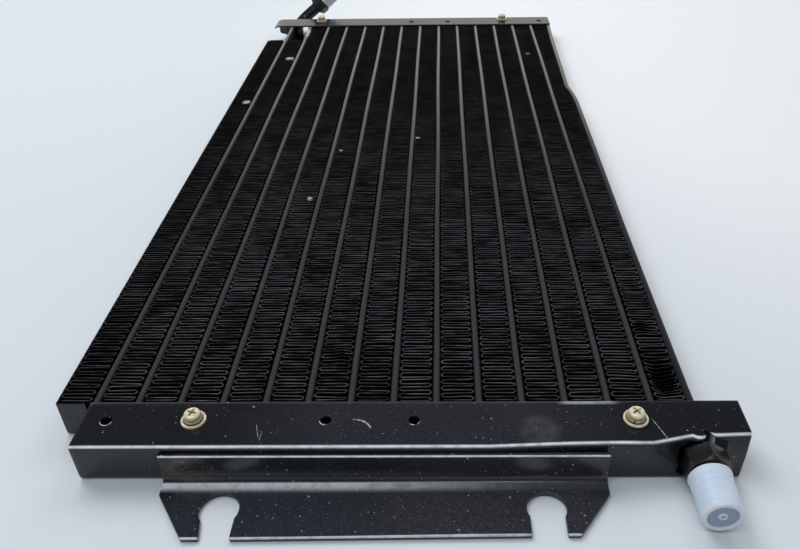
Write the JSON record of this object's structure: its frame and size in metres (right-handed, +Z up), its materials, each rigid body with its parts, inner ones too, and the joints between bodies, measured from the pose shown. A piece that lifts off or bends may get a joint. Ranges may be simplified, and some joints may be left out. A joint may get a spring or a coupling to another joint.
{
  "type": "air conditioning condenser",
  "caption": "Serpentine flat-tube condenser with corrugated fins between two folded end channels, hook bracket and capped inlet and outlet unions.",
  "frame": {"origin": "middle of the whole part's box, on the plane that its channels and bracket rest on", "axes": "+X to the right along the end channels, +Y from the outlet and bracket end to the inlet end along the tube runs, +Z up through the core's thickness"},
  "size_m": [0.367, 0.8032, 0.063],
  "materials": {
    "fins": "black paint, matt",
    "tube": "black paint, satin",
    "side_plate": "black paint, satin",
    "channels": "gloss black paint",
    "bracket": "gloss black paint",
    "zinc_fasteners": "yellow zinc plated",
    "sleeves": "plain zinc plated",
    "blocks": "black paint, satin",
    "pipe": "gloss black paint",
    "unions": "black paint, satin",
    "seal_rings": "dark green rubber",
    "caps": "soft translucent plastic, pale blue"
  },
  "bodies": {
    "root": {"clamp_screw_1": "zinc_fasteners", "clamp_screw_2": "zinc_fasteners", "clamp_screw_3": "zinc_fasteners", "clamp_screw_4": "zinc_fasteners", "fin_strip_00": "fins", "fin_strip_01": "fins", "fin_strip_02": "fins", "fin_strip_03": "fins", "fin_strip_04": "fins", "fin_strip_05": "fins", "fin_strip_06": "fins", "fin_strip_07": "fins", "fin_strip_08": "fins", "fin_strip_09": "fins", "fin_strip_10": "fins", "fin_strip_11": "fins", "fin_strip_12": "fins", "fin_strip_13": "fins", "fin_strip_14": "fins", "flat_washer_1": "zinc_fasteners", "flat_washer_2": "zinc_fasteners", "flat_washer_3": "zinc_fasteners", "flat_washer_4": "zinc_fasteners", "front_channel": "channels", "inlet_block": "blocks", "inlet_pipe": "pipe", "inlet_seal_ring": "seal_rings", "inlet_transit_cap": "caps", "inlet_union": "unions", "left_side_plate": "side_plate", "mounting_bracket": "bracket", "outlet_block": "blocks", "outlet_seal_ring": "seal_rings", "outlet_transit_cap": "caps", "outlet_union": "unions", "rear_channel": "channels", "serpentine_tube": "tube", "spacer_sleeve_1": "sleeves", "spacer_sleeve_2": "sleeves", "spacer_sleeve_3": "sleeves", "spacer_sleeve_4": "sleeves", "spring_washer_1": "zinc_fasteners", "spring_washer_2": "zinc_fasteners", "spring_washer_3": "zinc_fasteners", "spring_washer_4": "zinc_fasteners"}
  },
  "joints": []
}
